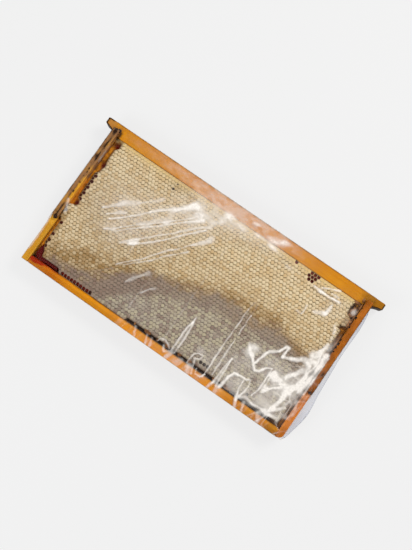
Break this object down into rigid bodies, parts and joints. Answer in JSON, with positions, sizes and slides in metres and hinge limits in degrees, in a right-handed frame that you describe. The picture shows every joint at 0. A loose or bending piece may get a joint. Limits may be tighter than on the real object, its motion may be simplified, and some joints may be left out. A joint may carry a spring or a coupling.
{
  "type": "honeycomb in a wooden hive frame",
  "caption": "Capped honeycomb filling a wooden hive frame with lugs and spacing shoulders, wrapped in clear film, lying flat.",
  "frame": {"origin": "middle of the bounding box, at the flat back of the film that the frame lies on", "axes": "+X along the top bar, +Y from the bottom bar to the top bar, +Z out of the front face of the comb"},
  "size_m": [0.466, 0.2348, 0.0388],
  "materials": {
    "top_bar_wood": "bare pine stained orange by wax, darker along its edges",
    "side_bar_wood": "pine under brown propolis on the shoulders, clean and yellow below them",
    "bottom_bar_wood": "bare pine stained orange by honey",
    "wax_cappings": "pale beeswax caps, slightly domed, satin",
    "honey": "thick dark red-brown honey, wet",
    "clear_film": "clear stretch film with folds and ridges"
  },
  "bodies": {
    "root": {"top_bar": "top_bar_wood", "side_bar_left": "side_bar_wood", "side_bar_right": "side_bar_wood", "bottom_bar": "bottom_bar_wood", "comb": "wax_cappings", "pooled_honey": "honey", "film_wrap": "clear_film"}
  },
  "joints": []
}
